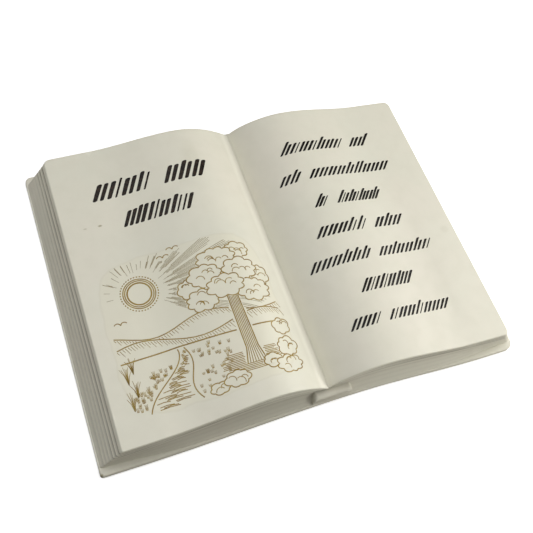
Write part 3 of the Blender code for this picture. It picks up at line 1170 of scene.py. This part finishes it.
def lay_line(shape, line):
    """Adds one line of ink to the mesh and notes how faded it is."""
    last = len(line.points) - 1
    faded = shape.verts.layers.float["faded"]
    sections = []
    for i, point in enumerate(line.points):
        previous, following = line.points[max(i - 1, 0)], line.points[min(i + 1, last)]
        section = ink_section(previous, following, point, line.widths[i])
        sections.append([shape.verts.new(place) for place in section])
        for vert in sections[-1]:
            vert[faded] = line.faded
    for near, far in zip(sections, sections[1:]):
        for side in range(3):
            shape.faces.new((near[side], near[side + 1], far[side + 1], far[side]))
    shape.faces.new(sections[0])
    shape.faces.new(reversed(sections[-1]))


def build_print():
    shape = bmesh.new()
    shape.verts.layers.float.new("faded")
    for line in picture:
        lay_line(shape, line)
    bmesh.ops.recalc_face_normals(shape, faces=shape.faces)
    return object_from(shape, "gold_line_print")


gold_print = build_print()
print("print:", len(gold_print.data.polygons), "faces")

# %% [markdown]
# ## Node groups for the finishes
#
# Two effects serve more than one finish, so each is a node group with its own inputs: slow
# colour drift and fine grain for the bump. The masks of sharp edges and of hollows, which
# Cycles reads from how pointed the surface is, are a third group, to keep the resin's own
# nodes few; the hollow mask carries painted shade. Groups only put out colours and values; the
# shader itself stays in the material.

# %% Node groups for the finishes
COLOR, FLOAT, VECTOR = "NodeSocketColor", "NodeSocketFloat", "NodeSocketVector"


def new_group(name, inputs, outputs):
    """An empty node group. Each input is a name, a type and a value, each output two of them."""
    group = bpy.data.node_groups.new(name, "ShaderNodeTree")
    for label, kind, value in inputs:
        group.interface.new_socket(label, in_out="INPUT", socket_type=kind).default_value = value
    for label, kind in outputs:
        group.interface.new_socket(label, in_out="OUTPUT", socket_type=kind)
    return group, group.nodes.new("NodeGroupInput"), group.nodes.new("NodeGroupOutput")


def add_node(tree, kind, links=None, **settings):
    """Adds a node, sets its properties, and links or sets its inputs by name or number."""
    node = tree.nodes.new("ShaderNode" + kind)
    for label, value in settings.items():
        setattr(node, label, value)
    for label, value in (links or {}).items():
        if isinstance(value, bpy.types.NodeSocket):
            tree.links.new(value, node.inputs[label])
        else:
            node.inputs[label].default_value = value
    return node


def math_node(tree, operation, first, second=0.0):
    """One step of arithmetic between two values."""
    return add_node(tree, "Math", {0: first, 1: second}, operation=operation).outputs[0]


def vector_node(tree, operation, first, second):
    """One step of arithmetic between two vectors."""
    return add_node(tree, "VectorMath", {0: first, 1: second}, operation=operation).outputs[0]


def mix_colors(tree, share, first, second):
    """A colour mix, whose inputs have numbers because their names are used three times."""
    return add_node(tree, "Mix", {0: share, 6: first, 7: second}, data_type="RGBA").outputs[2]


def remap(tree, value, low, high, to_low=0.0, to_high=1.0):
    """A value taken smoothly from one range to another."""
    links = {"Value": value, 1: low, 2: high, 3: to_low, 4: to_high}
    return add_node(tree, "MapRange", links, interpolation_type="SMOOTHSTEP").outputs[0]


def build_drift():
    """Slow drift between three colours: a base, a warmer one and a cooler one."""
    group, given, result = new_group(
        "slow_drift",
        [("Place", VECTOR, (0, 0, 0)), ("Scale", FLOAT, 30.0), ("Base", COLOR, (1, 1, 1, 1)),
         ("Warm", COLOR, (1, 1, 1, 1)), ("Cool", COLOR, (1, 1, 1, 1))],
        [("Color", COLOR)])
    links = {"Vector": given.outputs["Place"], "Scale": given.outputs["Scale"], "Detail": 3.0}
    cloud = add_node(group, "TexNoise", links)
    warm_share = remap(group, cloud.outputs["Fac"], 0.48, 0.72)
    cool_share = remap(group, cloud.outputs["Fac"], 0.52, 0.30)
    color = mix_colors(group, warm_share, given.outputs["Base"], given.outputs["Warm"])
    color = mix_colors(group, cool_share, color, given.outputs["Cool"])
    group.links.new(color, result.inputs["Color"])
    return group


def build_grain():
    """Fine grain for a bump: sand in the resin and a slower orange-peel wave."""
    group, given, result = new_group(
        "fine_grain",
        [("Place", VECTOR, (0, 0, 0)), ("Sand", FLOAT, 1400.0), ("Wave", FLOAT, 160.0),
         ("Sand Share", FLOAT, 0.3)],
        [("Height", FLOAT)])
    sand = add_node(
        group, "TexNoise",
        {"Vector": given.outputs["Place"], "Scale": given.outputs["Sand"], "Detail": 2.0})
    wave = add_node(
        group, "TexNoise",
        {"Vector": given.outputs["Place"], "Scale": given.outputs["Wave"], "Detail": 1.0})
    height = add_node(
        group, "Mix",
        {0: given.outputs["Sand Share"], 2: wave.outputs["Fac"], 3: sand.outputs["Fac"]},
        data_type="FLOAT").outputs[0]
    group.links.new(height, result.inputs["Height"])
    return group


def build_relief():
    """Masks of raised edges and of hollows."""
    group, given, result = new_group(
        "edges_and_hollows",
        [("Edge From", FLOAT, 0.53), ("Edge To", FLOAT, 0.62),
         ("Hollow From", FLOAT, 0.48), ("Hollow To", FLOAT, 0.40)],
        [("Edge", FLOAT), ("Hollow", FLOAT)])
    pointed = add_node(group, "NewGeometry").outputs["Pointiness"]
    edge = remap(group, pointed, given.outputs["Edge From"], given.outputs["Edge To"])
    hollow = remap(group, pointed, given.outputs["Hollow From"], given.outputs["Hollow To"])
    group.links.new(edge, result.inputs["Edge"])
    group.links.new(hollow, result.inputs["Hollow"])
    return group


slow_drift = build_drift()
fine_grain = build_grain()
edges_and_hollows = build_relief()
print("node groups:", [group.name for group in bpy.data.node_groups])

# %% [markdown]
# ## Marks on the resin
#
# The small brown specks and the faint smudges are soft-edged ovals at measured places on the
# pages; the longest, on the left page's crest near the back, is painted shade where the page
# dips. The clear film that carries the printed picture is a field on the left page: a
# rounded rectangle, whose edge a noise makes a little wavy. Both are masks, which say how
# much of a colour to mix in at a place.

# %% Marks on the resin
Speck = namedtuple("Speck", "x y half_length half_depth strength")
# The long faint oval at -0.0226, 0.0470 is painted shade on the crest, where the page dips.
SPOTS_AND_SHADE = [
    Speck(-0.0669, 0.0265, 0.00115, 0.0006, 0.85), Speck(-0.0728, 0.0266, 0.0010, 0.0005, 0.40),
    Speck(-0.0094, -0.0093, 0.0005, 0.0005, 0.50), Speck(-0.0020, -0.0465, 0.0005, 0.0005, 0.55),
    Speck(-0.0894, -0.0653, 0.0008, 0.0008, 0.90), Speck(-0.0226, 0.0470, 0.0050, 0.0130, 0.10),
    Speck(0.0768, -0.0098, 0.0030, 0.0024, 0.09), Speck(-0.0223, -0.0490, 0.0030, 0.0006, 0.14)]
FILM_MIDDLE = (-0.0405, -0.0210, 0.0)
FILM_HALF_SIZE = (0.0330, 0.0315)
FILM_WAVE = (0.0035, 0.0035, 0.0)
FILM_SQUARENESS = 5.0


def speck_mask(tree, flat_place, speck):
    """A soft-edged oval spot at a place on the page."""
    offset = vector_node(tree, "SUBTRACT", flat_place, (speck.x, speck.y, 0.0))
    scale = (1 / speck.half_length, 1 / speck.half_depth, 0.0)
    scaled = vector_node(tree, "MULTIPLY", offset, scale)
    away = add_node(tree, "VectorMath", {0: scaled}, operation="LENGTH").outputs["Value"]
    return remap(tree, away, 1.0, 0.3, 0.0, speck.strength)


def film_mask(tree, place):
    """The field of the clear film: a rounded rectangle with a wavy edge."""
    wobble = add_node(tree, "TexNoise", {"Vector": place, "Scale": 90.0, "Detail": 2.0})
    shift = vector_node(tree, "MULTIPLY", wobble.outputs["Color"], FILM_WAVE)
    moved = vector_node(tree, "ADD", place, shift)
    links = {"Vector": moved, "Location": FILM_MIDDLE}
    local = add_node(tree, "Mapping", links, vector_type="TEXTURE").outputs[0]
    parts = add_node(tree, "SeparateXYZ", {0: local})
    powers = []
    for axis, half in zip("XY", FILM_HALF_SIZE):
        scaled = math_node(tree, "MULTIPLY", parts.outputs[axis], 1 / half)
        powers.append(
            math_node(tree, "POWER", math_node(tree, "ABSOLUTE", scaled), FILM_SQUARENESS))
    return remap(tree, math_node(tree, "ADD", *powers), 1.12, 0.92)


print("specks and smudges:", len(SPOTS_AND_SHADE))

# %% [markdown]
# ## The cream resin
#
# Stone-filled resin is a satin, slightly uneven cream. Slow drift gives the warmer and
# greyer clouds of an old casting. Under the film it is a little yellower and smoother, with a
# thin darker line round it. The grooves are darkened with dirt and painted shade, the hollows
# with painted shade, sharp edges are paler, and painted highlights lie beside the gutter and
# on the cover's rim. Two bumps work together: broad, shallow dents of the casting, and fine
# grain on top of them.

# %% The cream resin
SPOT_AND_SHADE_COLOR = (0.33, 0.295, 0.17, 1.0)
DIRT_AND_SHADE_COLOR = (0.155, 0.135, 0.098, 1.0)
PALE_AND_HIGHLIGHT_COLOR = (0.87, 0.85, 0.74, 1.0)
GREY_COLOR = (0.66, 0.64, 0.53, 1.0)
FILM_COLOR = (0.72, 0.69, 0.54, 1.0)
FILM_EDGE_COLOR = (0.60, 0.57, 0.45, 1.0)
FILM_SHARE = 0.40
FILM_SMOOTHER = 0.06
HOLLOW_SHADE_SHARE = 0.30
EDGE_SHARE = 0.25
NOTED_SHARE = 0.85


def begin_material(material):
    """Empties a material's nodes and gives it a shader and object coordinates."""
    material.use_nodes = True
    tree = material.node_tree
    tree.nodes.clear()
    shader = tree.nodes.new("ShaderNodeBsdfPrincipled")
    output = tree.nodes.new("ShaderNodeOutputMaterial")
    tree.links.new(shader.outputs["BSDF"], output.inputs["Surface"])
    place = tree.nodes.new("ShaderNodeTexCoord").outputs["Object"]
    return tree, shader, place


def add_group(tree, group, links):
    """Adds a node group with its inputs linked or set."""
    return add_node(tree, "Group", links, node_tree=group)


def bump(tree, shader, height, distance, strength):
    """Feeds a height through a Bump node to the shader, and gives back the node."""
    links = {"Height": height, "Distance": distance, "Strength": strength}
    node = add_node(tree, "Bump", links)
    tree.links.new(node.outputs["Normal"], shader.inputs["Normal"])
    return node


def noted_share(tree, name):
    """A share that was stored for each vertex, weakened for the colour mix."""
    share = add_node(tree, "Attribute", attribute_name=name).outputs["Fac"]
    return math_node(tree, "MULTIPLY", share, NOTED_SHARE)


def resin_color(tree, place, mottle, film):
    """The resin's colour: clouds, mottle, film, specks, dirt and painted shade, pale edges and
    painted highlights in turn.
    """
    base = add_group(tree, slow_drift, {
        "Place": place, "Scale": 26.0, "Base": (0.72, 0.70, 0.59, 1.0),
        "Warm": (0.730, 0.698, 0.592, 1.0), "Cool": (0.695, 0.687, 0.58, 1.0)}).outputs["Color"]
    base = mix_colors(tree, remap(tree, mottle, 0.35, 0.75, 0.0, 0.30), base, GREY_COLOR)
    base = mix_colors(tree, math_node(tree, "MULTIPLY", film, FILM_SHARE), base, FILM_COLOR)
    bare = math_node(tree, "SUBTRACT", 1.0, film)
    base = mix_colors(tree, math_node(tree, "MULTIPLY", film, bare), base, FILM_EDGE_COLOR)
    flat_place = vector_node(tree, "MULTIPLY", place, (1.0, 1.0, 0.0))
    # Specks, smudges and one oval of painted shade.
    for speck in SPOTS_AND_SHADE:
        base = mix_colors(tree, speck_mask(tree, flat_place, speck), base, SPOT_AND_SHADE_COLOR)
    relief = add_group(tree, edges_and_hollows, {})
    # Painted shade in the hollows that the pointiness finds, then the stored dirt and painted
    # shade.
    hollow_shade = math_node(tree, "MULTIPLY", relief.outputs["Hollow"], HOLLOW_SHADE_SHARE)
    on_edge = math_node(tree, "MULTIPLY", relief.outputs["Edge"], EDGE_SHARE)
    base = mix_colors(tree, hollow_shade, base, DIRT_AND_SHADE_COLOR)
    base = mix_colors(tree, noted_share(tree, "dirt_and_shade"), base, DIRT_AND_SHADE_COLOR)
    base = mix_colors(tree, on_edge, base, PALE_AND_HIGHLIGHT_COLOR)
    return mix_colors(tree, noted_share(tree, "pale"), base, PALE_AND_HIGHLIGHT_COLOR)


def finish_resin():
    tree, shader, place = begin_material(cream_resin)
    links = {"Vector": place, "Scale": 180.0, "Detail": 4.0}
    mottle = add_node(tree, "TexNoise", links).outputs["Fac"]
    film = film_mask(tree, place)
    tree.links.new(resin_color(tree, place, mottle, film), shader.inputs["Base Color"])
    satin = remap(tree, mottle, 0.3, 0.7, 0.44, 0.52)
    smoother = math_node(tree, "MULTIPLY", film, FILM_SMOOTHER)
    tree.links.new(math_node(tree, "SUBTRACT", satin, smoother), shader.inputs["Roughness"])
    grain = add_group(tree, fine_grain, {"Place": place}).outputs["Height"]
    fine = bump(tree, shader, grain, 0.00012, 0.35)
    broad = add_node(tree, "TexNoise", {"Vector": place, "Scale": 42.0, "Detail": 1.5})
    dents = add_node(
        tree, "Bump", {"Height": broad.outputs["Fac"], "Distance": 0.0011, "Strength": 0.5})
    tree.links.new(dents.outputs["Normal"], fine.inputs["Normal"])


finish_resin()
print("cream resin:", len(cream_resin.node_tree.nodes), "nodes")

# %% [markdown]
# ## The lettering paint
#
# The paint in the strokes is black with a dull sheen. On the left page the floor of the
# strokes is painted brown in patches, a painted reflection of the light that falls on it, and
# the walls stay black. The direction that the surface faces tells floor from wall.

# %% The lettering paint
def finish_paint():
    tree, shader, place = begin_material(lettering_paint)
    normal = add_node(tree, "NewGeometry").outputs["True Normal"]
    upwards = add_node(tree, "SeparateXYZ", {0: normal}).outputs["Z"]
    across = add_node(tree, "SeparateXYZ", {0: place}).outputs["X"]
    # Painted reflection: upward-facing floors of the strokes on the left page are browner.
    floor_sheen = remap(tree, upwards, 0.80, 0.90)
    sheen_on_left_page = remap(tree, across, 0.0, -0.001, 0.25, 1.0)
    thin = add_node(tree, "TexNoise", {"Vector": place, "Scale": 700.0, "Detail": 3.0})
    sheen_patches = remap(tree, thin.outputs["Fac"], 0.40, 0.62, 0.2, 1.0)
    share = math_node(tree, "MULTIPLY", floor_sheen, sheen_patches)
    share = math_node(tree, "MULTIPLY", share, sheen_on_left_page)
    base = mix_colors(tree, share, (0.005, 0.0045, 0.004, 1.0), (0.036, 0.023, 0.016, 1.0))
    tree.links.new(base, shader.inputs["Base Color"])
    rough = remap(tree, thin.outputs["Fac"], 0.3, 0.7, 0.38, 0.52)
    tree.links.new(rough, shader.inputs["Roughness"])
    shader.inputs["Specular IOR Level"].default_value = 0.22
    grain = add_group(tree, fine_grain, {"Place": place, "Wave": 900.0}).outputs["Height"]
    bump(tree, shader, grain, 0.0001, 0.3)


finish_paint()
print("lettering paint:", len(lettering_paint.node_tree.nodes), "nodes")

# %% [markdown]
# ## The gold ink
#
# The ink is a flat ochre with a little metal powder in it. It is thinner in places, where
# the cream shows through, so its colour drifts towards the page's. The rays are greyer: each
# line brought its share of fading with it, and the finish reads it back as an attribute.

# %% The gold ink
gold_ink = bpy.data.materials.new("gold_ink")


def finish_ink():
    tree, shader, place = begin_material(gold_ink)
    base = add_group(tree, slow_drift, {
        "Place": place, "Scale": 300.0, "Base": (0.26, 0.168, 0.018, 1.0),
        "Warm": (0.21, 0.125, 0.012, 1.0), "Cool": (0.34, 0.25, 0.060, 1.0)}).outputs["Color"]
    faded = add_node(tree, "Attribute", attribute_name="faded").outputs["Fac"]
    base = mix_colors(tree, faded, base, (0.22, 0.178, 0.082, 1.0))
    tree.links.new(base, shader.inputs["Base Color"])
    patchy = add_node(tree, "TexNoise", {"Vector": place, "Scale": 500.0})
    tree.links.new(
        remap(tree, patchy.outputs["Fac"], 0.3, 0.7, 0.36, 0.50), shader.inputs["Roughness"])
    grain = add_group(tree, fine_grain, {"Place": place}).outputs["Height"]
    bump(tree, shader, grain, 0.0001, 0.25)
    shader.inputs["Metallic"].default_value = 0.15


finish_ink()
gold_print.data.materials.append(gold_ink)
print("gold ink:", len(gold_ink.node_tree.nodes), "nodes")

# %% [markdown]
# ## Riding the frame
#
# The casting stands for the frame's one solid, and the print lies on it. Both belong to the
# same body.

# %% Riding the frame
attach(book, "root")
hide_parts("open_book")
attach(gold_print, "root")
print("pieces:", book.name, gold_print.name)

# %% [markdown]
# ## Floor and light
#
# The photograph is a cut-out on white. A soft window stands at the right, a larger lamp hangs
# over the back, so the front end and its ledge lie in shadow, and a weak one on the left
# stands for the sky. Two small lamps are low at the front: one at the right for the right end
# of the leaves, and a very weak one close to the end of the spine. The camera doesn't see the
# lamps. It sees a white floor and white surroundings, but neither throws much light on the
# book, because the real place was darker: the Light Path node tells the two apart.

# %% Floor and light
FLOOR_SIZE = 3.0
FLOOR_GLOW = 0.45
UNSEEN_WORLD = 0.03
Lamp = namedtuple("Lamp", "name place size energy color")
LAMPS = [
    Lamp("window", (0.57, 0.06, 0.38), 0.40, 2.3, (1.0, 0.98, 0.94)),
    Lamp("overhead", (-0.10, 0.16, 0.85), 0.80, 3.8, (1.0, 1.0, 1.0)),
    Lamp("left sky", (-0.60, 0.05, 0.60), 0.60, 1.4, (1.0, 1.0, 1.0)),
    Lamp("low front", (0.42, -0.34, 0.16), 0.20, 1.15, (1.0, 0.99, 0.96)),
    Lamp("near front", (0.07, -0.26, 0.13), 0.10, 0.07, (1.0, 0.99, 0.97)),
]


def build_floor():
    shape = bmesh.new()
    bmesh.ops.create_grid(shape, x_segments=8, y_segments=8, size=FLOOR_SIZE / 2)
    floor = object_from(shape, "floor")
    paper = bpy.data.materials.new("floor_paper")
    tree, shader, place = begin_material(paper)
    tone = add_node(tree, "TexNoise", {"Vector": place, "Scale": 3.0})
    pale = mix_colors(
        tree, remap(tree, tone.outputs["Fac"], 0.3, 0.7), (0.93, 0.93, 0.93, 1.0),
        (0.95, 0.95, 0.95, 1.0))
    seen = add_node(tree, "LightPath").outputs["Is Camera Ray"]
    base = mix_colors(tree, seen, (0.42, 0.40, 0.36, 1.0), pale)
    glow = mix_colors(
        tree, seen, (0.0, 0.0, 0.0, 1.0), (FLOOR_GLOW, FLOOR_GLOW, FLOOR_GLOW, 1.0))
    tree.links.new(base, shader.inputs["Base Color"])
    tree.links.new(glow, shader.inputs["Emission Color"])
    shader.inputs["Roughness"].default_value = 0.9
    shader.inputs["Emission Strength"].default_value = 1.0
    floor.data.materials.append(paper)
    return floor


def hang_lamp(lamp):
    light = bpy.data.lights.new(lamp.name, "AREA")
    light.shape = "SQUARE"
    light.size = lamp.size
    light.energy = lamp.energy
    light.color = lamp.color
    holder = bpy.data.objects.new(lamp.name, light)
    holder.location = lamp.place
    holder.rotation_mode = "QUATERNION"
    holder.rotation_quaternion = (-Vector(lamp.place)).to_track_quat("-Z", "Y")
    holder.visible_camera = False
    scene.collection.objects.link(holder)


build_floor()
for lamp in LAMPS:
    hang_lamp(lamp)
surrounding = bpy.data.worlds.new("surrounding")
surrounding.use_nodes = True
sky = surrounding.node_tree
background = sky.nodes["Background"]
background.inputs["Color"].default_value = (1.0, 1.0, 1.0, 1.0)
seen = add_node(sky, "LightPath").outputs["Is Camera Ray"]
sky.links.new(remap(sky, seen, 0.0, 1.0, UNSEEN_WORLD, 1.0), background.inputs["Strength"])
scene.world = surrounding
scene.view_settings.view_transform = "Standard"
print("lamps:", [lamp.name for lamp in LAMPS])
